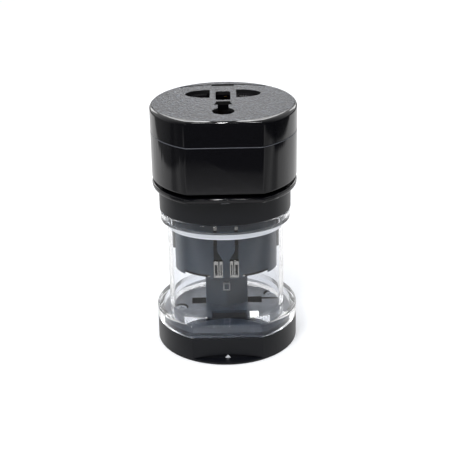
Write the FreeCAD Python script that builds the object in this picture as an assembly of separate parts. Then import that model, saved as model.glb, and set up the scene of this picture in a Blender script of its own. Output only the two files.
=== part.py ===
import FreeCAD
import Part
import math
import os

# Modular travel adapter standing on its base, sizes in millimetres.
# Origin: centre of the foot on the table. +Z up, the alignment flat faces -Y, +X to the right.

# Round outline with one alignment flat, shared by the head, the ring, the case flange and the base
round_radius = 29.0
flat_cut = 3.8
wall = 2.0
edge_round = 0.8

# Clearances
body_gap = 0.3
fit_gap = 0.05
screw_clearance = 0.15
tolerance = 1e-4

# Cross-recessed screw heads, as shares of the head's radius and height
screw_recess_share = 0.55
screw_slit_share = 0.13
screw_round_share = 0.45

# Base
base_height = 10.2
foot_height = 1.0
base_wall = 2.5
base_floor = 2.6
ledge_width = 2.4
ledge_height = 2.4
arch_half_width = 14.0
arch_height = 2.8
arch_recess = 0.9
foot_lift = 0.25
rubber_radius = 3.2
rubber_thickness = 1.2
rubber_margin = 8.6
post_screw_sink = 1.4
base_mark_width = 2.0
base_mark_height = 1.3

# Floor plate
floor_rise = 3.1
floor_thickness = 2.5
floor_chamfer = 1.8
skirt_wall = 2.0
screw_left_x = -19.2
screw_left_y = -2.6
screw_right_x = 18.8
screw_right_y = 8.6
counterbore_radius = 3.1
counterbore_depth = 1.5
boss_wall = 1.9
floor_screw_radius = 1.4
floor_screw_head_radius = 2.6
floor_screw_head_height = 1.1
floor_screw_length = 5.5
floor_slot_inner = 7.6
floor_slot_outer = 14.7
floor_slot_y = 3.0
floor_slot_width = 5.4
floor_groove_end = 22.4
floor_groove_width = 1.2
floor_groove_depth = 0.8
window_left = -6.3
window_right = 8.0
window_length = 8.6
platform_drop = 1.0
lens_half_width = 13.6
lens_height = 4.5
lens_front = 5.5
lens_slot_width = 0.8

# Keeper strip: a bent nickel strip riveted under the platform, with both ends on the floor plate
strip_thickness = 0.6
strip_width = 3.2
strip_setback = 0.4
strip_depth = 3.4
strip_proud = 0.35
keeper_right_inner = 9.2
keeper_right_outer = 12.9
keeper_right_length = 8.2
keeper_left_inner = -6.9
keeper_left_outer = -8.9
rivet_x = 0.1
rivet_setback = 1.4
rivet_radius = 0.5
rivet_head_radius = 0.8
rivet_head_height = 0.5
rivet_head_round = 0.3

# Post
post_half_width = 8.75
post_front = -4.0
post_back = 9.8
post_side_front = 1.4
post_side_back = 4.6
post_round = 1.0
post_top_round = 0.5
post_flange = 1.2
post_flange_height = 2.0
post_screw_radius = 1.7
post_screw_head_radius = 3.2
post_screw_head_height = 1.6
post_screw_length = 12.0

# Clear case
flange_height = 5.0
shelf_thickness = 1.4
flange_wall = 2.4
waist_half_x = 23.7
waist_half_y = 17.9
waist_height = 35.0
waist_wall = 1.6
step_height = 2.5
step_wall_rise = 0.6
step_width_x = 2.6
step_width_y = 2.0
rim_height = 3.7
rim_wall = 1.8
rim_round = 0.4

# Plug body, the oval part that stands in the case
plug_clearance_x = 1.3
plug_clearance_y = 0.9
plug_reach = 25.15
plug_wall = 1.6
plug_floor = 2.0
plug_flange = 1.5
rebate_inner = 6.6
rebate_outer = 16.5
rebate_height = 1.7
rebate_depth = 1.4
channel_half = 5.2
channel_depth = 0.9
channel_wall = 1.9
guide_inner = 3.5
guide_width = 1.4
stem_half_width = 1.3
notch_height = 4.2
tongue_half_width = 2.4
tongue_gap = 0.55
tongue_length = 19.5
tongue_embed = 0.8
tongue_round = 0.6

# Fork contacts beside the plug's front stem
fork_gap = 0.15
tine_inner_width = 1.3
tine_outer_width = 1.85
tine_space = 0.4
tine_rim = 0.42
tine_tip = 1.6
fork_bar_height = 1.2
fork_foot_depth = 0.85
riser_offset = 1.2
riser_width = 1.2
riser_thickness = 0.6

# Two flat pins on the sliding carriage
pin_spacing = 12.7
pin_thickness = 1.52
pin_width = 6.35
pin_centre_y = -6.7
pin_travel = 17.3
pin_retract = 0.35
pin_chamfer = 0.45
pin_slot_gap = 0.3
carriage_rest_gap = 0.45
carriage_height = 7.6
carriage_back = 10.6
thumb_height = 3.0
thumb_thickness = 0.8
thumb_round = 0.4
wiper_rise = 0.4
wiper_height = 5.0

# Collar and ring
collar_overhang = 0.3
collar_height = 11.4
collar_lip = 1.8
thumb_headroom = 0.8
ring_height = 2.0
ring_round = 0.65
collar_mark_width = 3.0
collar_mark_height = 1.7
mark_thickness = 0.4

# Head
neck_inset = 2.6
neck_height = 1.6
housing_floor = 2.2
housing_height = 19.2
seam_gap = 0.2
seam_lip_height = 1.6
seam_lip_wall = 1.0
cover_height = 10.0
face_thickness = 1.5
face_inset = 0.9
face_front_inset = 0.7
cover_thickness = 2.0
cover_round = 1.6
head_screw_radius = 1.1
head_screw_head_radius = 2.2
head_screw_head_height = 1.2
head_screw_length = 11.0

# Apertures in the face
side_slot_inner = 5.3
side_slot_length = 9.8
side_slot_y = 11.2
side_slot_half = 5.35
centre_half_x = 2.95
centre_low = 2.7
centre_high = 14.3
centre_round = 1.3
key_top = 0.75
key_top_half = 2.6
key_low = -3.6
key_low_half = 3.55
neck_half = 2.1
key_round_y = -11.9
key_round_radius = 4.3
arc_end_x = 17.4
arc_end_y = 21.0
arc_mid_y = 24.2
arc_width = 0.9
arc_depth = 0.6
arc_block_half = 4.6
arc_block_width = 2.4

# Shutters behind the two side apertures
shutter_overlap = 0.7
shutter_thickness = 1.8
shutter_margin = 0.2
shutter_chamfer = 0.55
spring_x = 10.0
spring_outer_radius = 0.9
spring_wire_radius = 0.17
spring_turns = 16
spring_closed_length = 12.7
spring_stop_thickness = 1.2

# Contact carrier and contacts inside the head
carrier_gap = 0.6
carrier_lift = 1.8
carrier_floor = 3.2
carrier_foot_radius = 2.0
carrier_foot_x = 12.0
carrier_foot_y = 18.5
pocket_margin = 0.4
earth_margin = 1.0
leaf_thickness = 0.8
leaf_height = 11.0
contact_inset = 0.9
contact_half_gap = 2.5
tail_width = 2.0
bar_thickness = 0.7
bar_width = 2.4

# Fuse at the live side of the head
fuse_wall = 1.3
fuse_lift = 9.0
fuse_cap_radius = 2.6
fuse_tube_radius = 2.4
fuse_length = 20.0
fuse_cap_length = 4.6
fuse_clip_thickness = 0.5
fuse_clip_width = 3.2
fuse_clip_mouth = 1.56

# Levels from the table upwards
flat_depth = round_radius - flat_cut
case_bottom = base_height + body_gap
floor_top = base_height + floor_rise
floor_bottom = floor_top - floor_thickness
platform_top = floor_top - platform_drop
strip_z = platform_top - strip_depth
lens_back = lens_front + lens_height - flat_depth
window_back = lens_back + window_length
strip_y = lens_back + strip_setback
rivet_y = lens_back + rivet_setback
shelf_top = case_bottom + flange_height
shelf_bottom = shelf_top - shelf_thickness
step_low = shelf_top + waist_height
step_high = step_low + step_height
rim_top = step_high + rim_height
collar_bottom = rim_top + body_gap
collar_top = collar_bottom + collar_height
ring_top = collar_top + ring_height
head_bottom = ring_top + neck_height
housing_floor_top = head_bottom + housing_floor
seam = head_bottom + housing_height
cover_bottom = seam + seam_gap
head_top = cover_bottom + cover_height
face_bottom = head_top - face_thickness
cover_inside = face_bottom - cover_thickness

# Plug body, pins and carriage
waist_inner_x = waist_half_x - waist_wall
waist_inner_y = waist_half_y - waist_wall
rim_half_x = waist_half_x + step_width_x
rim_half_y = waist_half_y + step_width_y
plug_half_x = waist_inner_x - plug_clearance_x
plug_half_y = waist_inner_y - plug_clearance_y
plug_bottom = collar_bottom - plug_reach
post_top = plug_bottom - body_gap
post_y = (post_front + post_back) / 2
channel_floor = -plug_half_y + channel_depth
pad_back = channel_floor + channel_wall
riser_front = pad_back + body_gap
carriage_front = riser_front + riser_thickness
pin_bottom = plug_bottom + pin_retract
carriage_bottom = plug_bottom + plug_floor + carriage_rest_gap + pin_travel
carriage_top = carriage_bottom + carriage_height
wiper_bottom = carriage_bottom + wiper_rise
wiper_top = wiper_bottom + wiper_height
stem_bottom = wiper_top + body_gap
guide_bottom = stem_bottom - pin_travel - body_gap
guide_outer = guide_inner + guide_width
fork_top = guide_bottom - body_gap
fork_inner = stem_half_width + fork_gap
fork_inner_edge = fork_inner + tine_inner_width
fork_outer_edge = fork_inner_edge + tine_space
fork_outer = fork_outer_edge + tine_outer_width
riser_inner = fork_outer + riser_offset
riser_outer = riser_inner + riser_width
collar_web_bottom = carriage_top + thumb_headroom
tongue_bottom = collar_web_bottom - tongue_length
tongue_outer_x = waist_inner_x - tongue_gap
collar_half_x = rim_half_x + collar_overhang
collar_half_y = rim_half_y + collar_overhang
skirt_radius = round_radius - base_wall - body_gap
rubber_ring = round_radius - rubber_margin
boss_radius = floor_screw_radius + boss_wall
post_boss_radius = post_screw_radius + boss_wall
floor_screw_places = ((screw_left_x, screw_left_y), (screw_right_x, screw_right_y))
rubber_offset = rubber_ring / math.sqrt(2)
rubber_places = [(x, y) for x in (-rubber_offset, rubber_offset) for y in (-rubber_offset, rubber_offset)]

# Head
side_slot_tip_x = side_slot_inner + side_slot_length
side_slot_low = side_slot_y - side_slot_half
side_slot_high = side_slot_y + side_slot_half
head_screw_x = plug_half_x + plug_flange + head_screw_radius + 2 * fit_gap
shutter_top = cover_inside - body_gap
shutter_bottom = shutter_top - shutter_thickness
shutter_inner = side_slot_inner - shutter_overlap
shutter_outer = side_slot_tip_x + shutter_overlap
shutter_low = side_slot_low - shutter_overlap
shutter_high = side_slot_high + shutter_overlap
shutter_travel = shutter_high - side_slot_low + shutter_margin
spring_front = shutter_low - shutter_travel - spring_closed_length
carrier_top = shutter_bottom - body_gap
carrier_bottom = housing_floor_top + carrier_lift
pocket_floor = carrier_bottom + carrier_floor
pocket_inner = side_slot_inner - pocket_margin
pocket_outer = side_slot_tip_x + pocket_margin
pocket_low = side_slot_low - pocket_margin
pocket_high = side_slot_high + pocket_margin
middle_pocket_half = key_round_radius + fit_gap
middle_pocket_low = key_round_y - key_round_radius - pocket_margin
middle_pocket_high = centre_high + pocket_margin
contact_inner = side_slot_inner + contact_inset
contact_outer = side_slot_tip_x - contact_inset
contact_front = side_slot_y - contact_half_gap
contact_back = side_slot_y + contact_half_gap
contact_x = (contact_inner + contact_outer) / 2
earth_leaf_x = centre_half_x + fit_gap
earth_front = middle_pocket_low + earth_margin
earth_back = middle_pocket_high - earth_margin
bar_top = housing_floor_top + bar_thickness
fuse_bay_inner = pocket_outer + fuse_wall
fuse_x = fuse_bay_inner + body_gap + fuse_clip_thickness + fuse_cap_radius
fuse_z = carrier_bottom + fuse_lift
fuse_clip_y = fuse_length / 2 - fuse_cap_length / 2


def vec(x, y, z=0.0):
    return FreeCAD.Vector(x, y, z)


def box(x0, x1, y0, y1, z0, z1):
    """Box between two corners, given in any order."""
    low = vec(min(x0, x1), min(y0, y1), min(z0, z1))
    return Part.makeBox(abs(x1 - x0), abs(y1 - y0), abs(z1 - z0), low)


def cylinder(x, y, z0, z1, radius):
    return Part.makeCylinder(radius, z1 - z0, vec(x, y, z0))


def polygon_face(points, z):
    corners = [vec(x, y, z) for x, y in points]
    return Part.Face(Part.makePolygon(corners + corners[:1]))


def prism(points, z0, z1):
    return polygon_face(points, z0).extrude(vec(0, 0, z1 - z0))


def upright_prism(points, y0, y1):
    """Prism along Y from an outline of x and z values."""
    corners = [vec(x, y0, z) for x, z in points]
    return Part.Face(Part.makePolygon(corners + corners[:1])).extrude(vec(0, y1 - y0, 0))


def oval_wire(half_x, half_y, z):
    return Part.Wire(Part.Ellipse(vec(0, 0, z), half_x, half_y).toShape())


def oval(half_x, half_y, z0, z1):
    return Part.Face(oval_wire(half_x, half_y, z0)).extrude(vec(0, 0, z1 - z0))


def oval_loft(low_x, low_y, z0, high_x, high_y, z1):
    return Part.makeLoft([oval_wire(low_x, low_y, z0), oval_wire(high_x, high_y, z1)], True, True)


def flatted(inset, z0, z1):
    """Disc with the alignment flat, its outline moved inwards by inset."""
    radius = round_radius - inset
    flat = flat_depth - inset
    half = math.sqrt(radius * radius - flat * flat)
    arc = Part.Arc(vec(half, -flat, z0), vec(0, radius, z0), vec(-half, -flat, z0)).toShape()
    chord = Part.makeLine(vec(-half, -flat, z0), vec(half, -flat, z0))
    return Part.Face(Part.Wire([arc, chord])).extrude(vec(0, 0, z1 - z0))


def edges_at(shape, z):
    """Edges that lie level at one height."""
    found = []
    for edge in shape.Edges:
        bounds = edge.BoundBox
        if abs(bounds.ZMin - z) < tolerance and abs(bounds.ZMax - z) < tolerance:
            found.append(edge)
    return found


def rounded_at(shape, z, radius):
    return shape.makeFillet(radius, edges_at(shape, z))


def save(name, shape):
    if shape.ShapeType == "Compound" and len(shape.Solids) == 1:
        shape = shape.Solids[0]
    print(name, len(shape.Solids), round(shape.Volume, 2), shape.isValid())
    shape.exportStep("parts/" + name + ".step")


def screw(x, y, head_top_z, head_radius, head_height, radius, length):
    """Pan-head screw standing point down, with a cross recess."""
    head_base = head_top_z - head_height
    head = cylinder(x, y, head_base, head_top_z, head_radius)
    head = rounded_at(head, head_top_z, head_height * screw_round_share)
    shaft = cylinder(x, y, head_base - length, head_base, radius)
    body = head.fuse(shaft)
    arm = head_radius * screw_recess_share
    slit = head_radius * screw_slit_share
    recess_z = head_top_z - head_height / 2
    body = body.cut(box(x - arm, x + arm, y - slit, y + slit, recess_z, head_top_z))
    return body.cut(box(x - slit, x + slit, y - arm, y + arm, recess_z, head_top_z))


def base_shell():
    """Black drum: a full round foot, the flat above it, and a hollow for the floor plate."""
    foot = cylinder(0, 0, foot_lift, foot_height, round_radius)
    shell = foot.fuse(flatted(0, foot_height, base_height))
    shell = shell.cut(flatted(base_wall, base_floor, base_height))
    ledge = flatted(base_wall, base_floor, base_floor + ledge_height)
    ledge = ledge.cut(flatted(base_wall + ledge_width, base_floor, base_floor + ledge_height))
    shell = shell.fuse(ledge)
    screw_bottom = floor_top - counterbore_depth - floor_screw_length
    for x, y in floor_screw_places:
        shell = shell.fuse(cylinder(x, y, base_floor, floor_bottom, boss_radius))
        shell = shell.cut(cylinder(x, y, screw_bottom, floor_bottom, floor_screw_radius))
    shell = shell.fuse(platform())
    shell = shell.fuse(cylinder(0, post_y, base_floor, floor_bottom - post_flange_height, post_boss_radius))
    head_top_z = post_screw_sink + post_screw_head_height
    shell = shell.cut(cylinder(0, post_y, 0, floor_bottom, post_screw_radius + screw_clearance))
    shell = shell.cut(cylinder(0, post_y, 0, head_top_z, post_screw_head_radius + screw_clearance))
    for x, y in rubber_places:
        shell = shell.cut(cylinder(x, y, 0, rubber_thickness, rubber_radius + fit_gap))
    return shell.cut(foot_arch()).removeSplitter()


def lens_circle():
    """Radius and centre of the arc behind the floor plate's lens-shaped front."""
    radius = (lens_half_width * lens_half_width + lens_height * lens_height) / (2 * lens_height)
    return radius, lens_back - radius


def floor_window(shrink, z0, z1):
    """Window in front of the post, its front edge on the lens arc, moved inwards by shrink."""
    radius, centre = lens_circle()
    room = box(window_left + shrink, window_right - shrink, lens_back - lens_height, window_back - shrink,
               z0, z1)
    return room.cut(cylinder(0, centre, z0, z1, radius + shrink))


def lens_slot(z0, z1):
    """Thin curved slot that runs on from the window along the lens arc."""
    radius, centre = lens_circle()
    ring = cylinder(0, centre, z0, z1, radius + lens_slot_width).cut(cylinder(0, centre, z0, z1, radius))
    return ring.common(box(-lens_half_width, lens_half_width, -flat_depth, window_back, z0, z1))


def platform():
    """Black block under the floor plate's window, slotted for the keeper strip."""
    block = floor_window(body_gap, base_floor, platform_top)
    block = block.cut(box(window_left, window_right, strip_y - strip_width / 2, strip_y + strip_width / 2,
                          strip_z, strip_z + strip_thickness))
    return block.cut(cylinder(rivet_x, rivet_y, strip_z, platform_top, rivet_radius))


def foot_arch():
    """Shallow arched thumb recess in the flat, just above the foot."""
    rise = arch_height - foot_height
    radius = (arch_half_width * arch_half_width + rise * rise) / (2 * rise)
    centre = vec(0, -flat_depth, arch_height - radius)
    disc = Part.makeCylinder(radius, arch_recess, centre, vec(0, 1, 0))
    band = box(-arch_half_width, arch_half_width, -flat_depth, arch_recess - flat_depth,
               foot_height, arch_height)
    return disc.common(band)


def floor_plate():
    """Grey plate with a skirt, its chamfered edge seen through the clear flange."""
    inset = round_radius - skirt_radius
    skirt_bottom = base_floor + ledge_height
    plate = flatted(inset, skirt_bottom, floor_top)
    plate = plate.makeChamfer(floor_chamfer, edges_at(plate, floor_top))
    plate = plate.cut(flatted(inset + skirt_wall, skirt_bottom, floor_bottom))
    for x, y in floor_screw_places:
        plate = plate.cut(cylinder(x, y, floor_top - counterbore_depth, floor_top, counterbore_radius))
        plate = plate.cut(cylinder(x, y, floor_bottom, floor_top, floor_screw_radius + screw_clearance))
    low = floor_slot_y - floor_slot_width / 2
    high = floor_slot_y + floor_slot_width / 2
    for side in (-1, 1):
        plate = plate.cut(box(side * floor_slot_inner, side * floor_slot_outer, low, high,
                              floor_bottom, floor_top))
    groove_low = floor_slot_y + floor_groove_width / 2
    plate = plate.cut(box(floor_slot_outer, floor_groove_end, groove_low, groove_low + floor_groove_width,
                          floor_top - floor_groove_depth, floor_top))
    plate = plate.cut(floor_window(0, floor_bottom, floor_top)).cut(lens_slot(floor_bottom, floor_top))
    plate = plate.cut(post_outline(fit_gap, floor_bottom, floor_top)).cut(post_foot(fit_gap))
    return plate.cut(keeper_strip(fit_gap)).removeSplitter()


def post_outline(grow, z0, z1):
    """Six-sided column with rounded corners, its outline moved outwards by grow."""
    side = post_half_width + grow
    points = [(0, post_front - grow), (side, post_side_front), (side, post_side_back),
              (0, post_back + grow), (-side, post_side_back), (-side, post_side_front)]
    shape = prism(points, z0, z1)
    upright = [e for e in shape.Edges if e.BoundBox.ZLength > 0.5 * (z1 - z0)]
    return shape.makeFillet(post_round, upright)


def post_foot(grow=0.0):
    """Square foot let flush into the floor plate, its front on the window's back edge."""
    side = post_half_width + grow
    return box(-side, side, window_back - grow, post_side_back + grow, floor_bottom, floor_top)


def post():
    """Six-sided post on a square foot, with a flange caught under the floor plate."""
    bottom = floor_bottom - post_flange_height
    column = post_outline(0, floor_bottom, post_top)
    column = rounded_at(column, post_top, post_top_round)
    body = column.fuse(post_foot()).fuse(post_outline(post_flange, bottom, floor_bottom))
    screw_end = post_screw_sink + post_screw_head_height + post_screw_length
    return body.cut(cylinder(0, post_y, bottom, screw_end, post_screw_radius)).removeSplitter()


def keeper_strip(grow=0.0):
    """One strip bent up at both ends and folded flat onto the floor plate."""
    y0 = strip_y - strip_width / 2 - grow
    y1 = strip_y + strip_width / 2 + grow
    top = floor_top + strip_proud
    low = top - strip_thickness - grow
    left = keeper_left_outer - grow
    right = keeper_right_inner + strip_thickness + grow
    strip = box(left, right, y0, y1, strip_z, strip_z + strip_thickness)
    strip = strip.fuse(box(left, keeper_left_outer + strip_thickness + grow, y0, y1, strip_z, top))
    strip = strip.fuse(box(left, keeper_left_inner + grow, y0, y1, low, top))
    strip = strip.fuse(box(keeper_right_inner - grow, right, y0, y1, strip_z, top))
    tab_back = y0 + keeper_right_length + 2 * grow
    tab = box(keeper_right_inner - grow, keeper_right_outer + grow, y0, tab_back, low, top)
    return strip.fuse(tab).removeSplitter()


def keeper_rivet():
    """Rivet through the platform into the strip, its head seen in the window."""
    shaft = cylinder(rivet_x, rivet_y, strip_z + strip_thickness, platform_top, rivet_radius)
    head = cylinder(rivet_x, rivet_y, platform_top, platform_top + rivet_head_height, rivet_head_radius)
    head = rounded_at(head, platform_top + rivet_head_height, rivet_head_round)
    return shaft.fuse(head).removeSplitter()


def floor_screws():
    head_z = floor_top - counterbore_depth + floor_screw_head_height
    return Part.makeCompound([screw(x, y, head_z, floor_screw_head_radius, floor_screw_head_height,
                                    floor_screw_radius, floor_screw_length) for x, y in floor_screw_places])


def post_screw():
    """Screw from below, its head over the foot pad."""
    body = screw(0, 0, 0, post_screw_head_radius, post_screw_head_height, post_screw_radius,
                 post_screw_length)
    body.rotate(vec(0, 0, 0), vec(1, 0, 0), 180)
    body.translate(vec(0, post_y, post_screw_sink))
    return body


def rubber_feet():
    """Four round rubber feet pressed into pockets under the base."""
    return Part.makeCompound([cylinder(x, y, 0, rubber_thickness, rubber_radius) for x, y in rubber_places])


def clear_case():
    """Clear case: flatted flange, oval waist, step and rim."""
    rim_inner_x = rim_half_x - rim_wall
    rim_inner_y = rim_half_y - rim_wall
    inner_step_low = step_low + step_wall_rise
    inner_step_high = step_high + step_wall_rise
    flange = rounded_at(flatted(0, case_bottom, shelf_top), shelf_top, edge_round)
    body = flange.fuse(oval(waist_half_x, waist_half_y, case_bottom, step_low))
    body = body.fuse(oval_loft(waist_half_x, waist_half_y, step_low, rim_half_x, rim_half_y, step_high))
    rim = oval(rim_half_x, rim_half_y, step_high, rim_top)
    body = body.fuse(rounded_at(rim, rim_top, rim_round))
    body = body.cut(flatted(flange_wall, case_bottom, shelf_bottom))
    body = body.cut(oval(waist_inner_x, waist_inner_y, case_bottom, inner_step_low))
    body = body.cut(oval_loft(waist_inner_x, waist_inner_y, inner_step_low, rim_inner_x, rim_inner_y,
                              inner_step_high))
    return body.cut(oval(rim_inner_x, rim_inner_y, inner_step_high, rim_top)).removeSplitter()


def plug_shell():
    """Oval plug body, open at the top, with the front channel, guide slots and fork windows."""
    hollow = oval(plug_half_x - plug_wall, plug_half_y - plug_wall, plug_bottom + plug_floor, ring_top)
    pad_half = channel_half + plug_wall
    front_pad = box(-pad_half, pad_half, -plug_half_y, pad_back, plug_bottom, collar_web_bottom)
    shell = oval(plug_half_x, plug_half_y, plug_bottom, ring_top)
    shell = shell.fuse(oval(plug_half_x + plug_flange, plug_half_y + plug_flange, collar_top, ring_top))
    shell = shell.cut(hollow.cut(front_pad))
    shell = shell.cut(box(-channel_half, channel_half, -plug_half_y, channel_floor,
                          plug_bottom, collar_web_bottom))
    floor_top_z = plug_bottom + plug_floor
    foot_front = pad_back - fork_foot_depth
    for side in (-1, 1):
        shell = shell.cut(box(side * guide_inner, side * guide_outer, -plug_half_y, pad_back,
                              guide_bottom, collar_web_bottom))
        shell = shell.cut(fork_window(side))
        shell = shell.cut(box(side * fork_inner, side * (riser_outer + fit_gap), foot_front - fit_gap,
                              carriage_front + body_gap, plug_bottom + fit_gap, floor_top_z))
        shell = shell.cut(pin_blade(side, pin_slot_gap, plug_bottom, floor_top_z))
        shell = shell.cut(side_tongue(side)).cut(bottom_rebate(side))
    return shell.removeSplitter()


def bottom_rebate(side):
    """Long shallow step under the front wall, beside the forks."""
    z1 = plug_bottom + rebate_height
    ring = oval(plug_half_x, plug_half_y, plug_bottom, z1)
    ring = ring.cut(oval(plug_half_x - rebate_depth, plug_half_y - rebate_depth, plug_bottom, z1))
    return ring.common(box(side * rebate_inner, side * rebate_outer, -plug_half_y, 0, plug_bottom, z1))


def fork_window(side):
    """Window for one fork, with the slanted flank that narrows the front stem above it."""
    x0 = side * stem_half_width
    x1 = side * (fork_outer + 2 * fit_gap)
    slant = side * guide_inner
    points = [(x0, plug_bottom + fit_gap), (x1, plug_bottom + fit_gap), (x1, guide_bottom),
              (slant, guide_bottom), (slant, guide_bottom + notch_height), (x0, guide_bottom)]
    return upright_prism(points, -plug_half_y, pad_back)


def pin_blade(side, grow, z0, z1):
    """Plain flat blade, its section moved outwards by grow."""
    x = side * pin_spacing / 2
    half_x = pin_thickness / 2 + grow
    half_y = pin_width / 2 + grow
    return box(x - half_x, x + half_x, pin_centre_y - half_y, pin_centre_y + half_y, z0, z1)


def side_tongue(side):
    """Tongue let into the side of the plug body, its lower outer edge rounded."""
    outer = side * tongue_outer_x
    tongue = box(side * (plug_half_x - tongue_embed), outer, -tongue_half_width, tongue_half_width,
                 tongue_bottom, collar_web_bottom)
    lower_outer = [e for e in tongue.Edges if abs(e.BoundBox.ZMax - tongue_bottom) < tolerance
                   and abs(e.BoundBox.XMin - outer) < tolerance and e.BoundBox.YLength > tongue_half_width]
    return tongue.makeFillet(tongue_round, lower_outer)


def fork(side):
    """Fork of two slotted tines with a riser strip up to the head."""
    y0 = channel_floor + 2 * fit_gap
    z0 = plug_bottom + body_gap
    bar_z = z0 + fork_bar_height
    inner = box(side * fork_inner, side * fork_inner_edge, y0, pad_back, z0, fork_top)
    inner = inner.cut(box(side * (fork_inner + tine_rim), side * (fork_inner_edge - tine_rim), y0, pad_back,
                          bar_z, fork_top - tine_tip))
    outer = box(side * fork_outer_edge, side * fork_outer, y0, pad_back, z0, fork_top)
    outer = outer.cut(box(side * (fork_outer_edge + tine_rim), side * (fork_outer - tine_rim), y0, pad_back,
                          bar_z, fork_top - tine_tip))
    crossbar = box(side * fork_inner, side * fork_outer, y0, pad_back, z0, bar_z)
    foot = box(side * fork_inner, side * riser_outer, pad_back - fork_foot_depth, carriage_front,
               z0, z0 + riser_thickness)
    riser = box(side * riser_inner, side * riser_outer, riser_front, carriage_front, z0,
                housing_floor_top)
    return inner.fuse(outer).fuse(crossbar).fuse(foot).fuse(riser).removeSplitter()


def pin(side):
    """Flat pin with the wiper that comes behind the fork at full travel."""
    blade = pin_blade(side, 0, pin_bottom, wiper_top)
    blade = blade.makeChamfer(pin_chamfer, edges_at(blade, pin_bottom))
    blade_front = pin_centre_y - pin_width / 2
    arm_inner = pin_spacing / 2 - pin_thickness / 2 - leaf_thickness
    arm_outer = arm_inner + leaf_thickness
    bridge_back = blade_front + leaf_thickness
    wiper = box(side * fork_inner, side * arm_outer, riser_front, carriage_front, wiper_bottom, wiper_top)
    arm = box(side * arm_inner, side * arm_outer, carriage_front, bridge_back, wiper_bottom, wiper_top)
    bridge = box(side * arm_inner, side * pin_spacing / 2, blade_front, bridge_back, wiper_bottom, wiper_top)
    return blade.fuse(wiper).fuse(arm).fuse(bridge).removeSplitter()


def pin_carriage():
    """Sliding block inside the plug body, with a thumb piece outside the front channel."""
    slack = plug_wall + body_gap
    block = oval(plug_half_x - slack, plug_half_y - slack, carriage_bottom, carriage_top)
    block = block.common(box(-plug_half_x, plug_half_x, carriage_front, carriage_back,
                             carriage_bottom, carriage_top))
    thumb_back = channel_floor - body_gap
    thumb_front = thumb_back - thumb_thickness
    thumb = box(-guide_outer, guide_outer, thumb_front, thumb_back, carriage_top - thumb_height, carriage_top)
    face_edges = [e for e in thumb.Edges if abs(e.BoundBox.YMax - thumb_front) < tolerance]
    body = block.fuse(thumb.makeFillet(thumb_round, face_edges))
    for side in (-1, 1):
        stem = box(side * (guide_inner + body_gap), side * (guide_outer - body_gap), thumb_back,
                   carriage_front, stem_bottom, carriage_top)
        notch = box(side * (riser_inner - body_gap), side * (riser_outer + body_gap), -plug_half_y,
                    carriage_front + body_gap, carriage_bottom, carriage_top)
        body = body.fuse(stem).cut(notch).cut(pin(side))
    return body.removeSplitter()


def collar():
    """Oval collar that sits on the case rim, with a web that carries the plug body's flange."""
    body = oval(collar_half_x, collar_half_y, collar_bottom, collar_top)
    body = rounded_at(body, collar_bottom, edge_round)
    body = body.cut(oval(collar_half_x - collar_lip, collar_half_y - collar_lip,
                         collar_bottom, collar_web_bottom))
    body = body.cut(oval(plug_half_x + fit_gap, plug_half_y + fit_gap, collar_web_bottom, collar_top))
    for side in (-1, 1):
        body = body.cut(cylinder(side * head_screw_x, 0, housing_floor_top - head_screw_length, collar_top,
                                 head_screw_radius))
    return body.removeSplitter()


def index_ring():
    """Flatted ring between the collar and the head."""
    ring = flatted(0, collar_top, ring_top)
    ring = ring.makeFillet(ring_round, edges_at(ring, collar_top) + edges_at(ring, ring_top))
    opening_x = plug_half_x + plug_flange + fit_gap
    opening_y = plug_half_y + plug_flange + fit_gap
    ring = ring.cut(oval(opening_x, opening_y, collar_top, ring_top))
    for side in (-1, 1):
        ring = ring.cut(cylinder(side * head_screw_x, 0, collar_top, ring_top,
                                 head_screw_radius + screw_clearance))
    return ring.removeSplitter()


def triangle(back_y, base_z, width, height):
    """Raised pointer on an upright face, its tip up."""
    points = [(-width / 2, base_z), (width / 2, base_z), (0, base_z + height)]
    return upright_prism(points, back_y - mark_thickness, back_y)


def base_mark():
    return triangle(arch_recess - flat_depth, foot_height, base_mark_width, base_mark_height)


def collar_mark():
    """Pointer on the collar's front, let in so that it meets the curved face."""
    raised = triangle(mark_thickness - collar_half_y, collar_top - collar_mark_height, collar_mark_width,
                      collar_mark_height)
    raised = raised.fuse(triangle(-collar_half_y, collar_top - collar_mark_height, collar_mark_width,
                                  collar_mark_height))
    return raised.cut(collar()).removeSplitter()


def head_housing():
    """Lower half of the head, open at the top, on a narrow neck."""
    body = rounded_at(flatted(0, head_bottom, seam), head_bottom, edge_round)
    body = body.fuse(flatted(neck_inset, ring_top, head_bottom))
    body = body.cut(flatted(wall, housing_floor_top, seam))
    lip = flatted(wall, seam - seam_lip_height, seam + seam_lip_height)
    lip = lip.cut(flatted(wall + seam_lip_wall, seam - seam_lip_height, seam + seam_lip_height))
    body = body.fuse(lip)
    for side in (-1, 1):
        body = body.cut(cylinder(side * head_screw_x, 0, ring_top, housing_floor_top,
                                 head_screw_radius + screw_clearance))
        body = body.cut(box(side * (riser_inner - fit_gap), side * (riser_outer + fit_gap),
                            riser_front - fit_gap, carriage_front + fit_gap, ring_top, housing_floor_top))
    return body.removeSplitter()


def side_aperture(side, z0, z1):
    """Half an oval: a straight inner edge and a rounded tip."""
    whole = oval(side_slot_length, side_slot_half, z0, z1)
    whole.translate(vec(side * side_slot_inner, side_slot_y, 0))
    return whole.common(box(side * side_slot_inner, side * side_slot_tip_x, side_slot_low, side_slot_high,
                            z0, z1))


def centre_aperture(z0, z1):
    hole = box(-centre_half_x, centre_half_x, centre_low, centre_high, z0, z1)
    return hole.makeFillet(centre_round, [e for e in hole.Edges if e.BoundBox.ZLength > 0.5 * (z1 - z0)])


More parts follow.
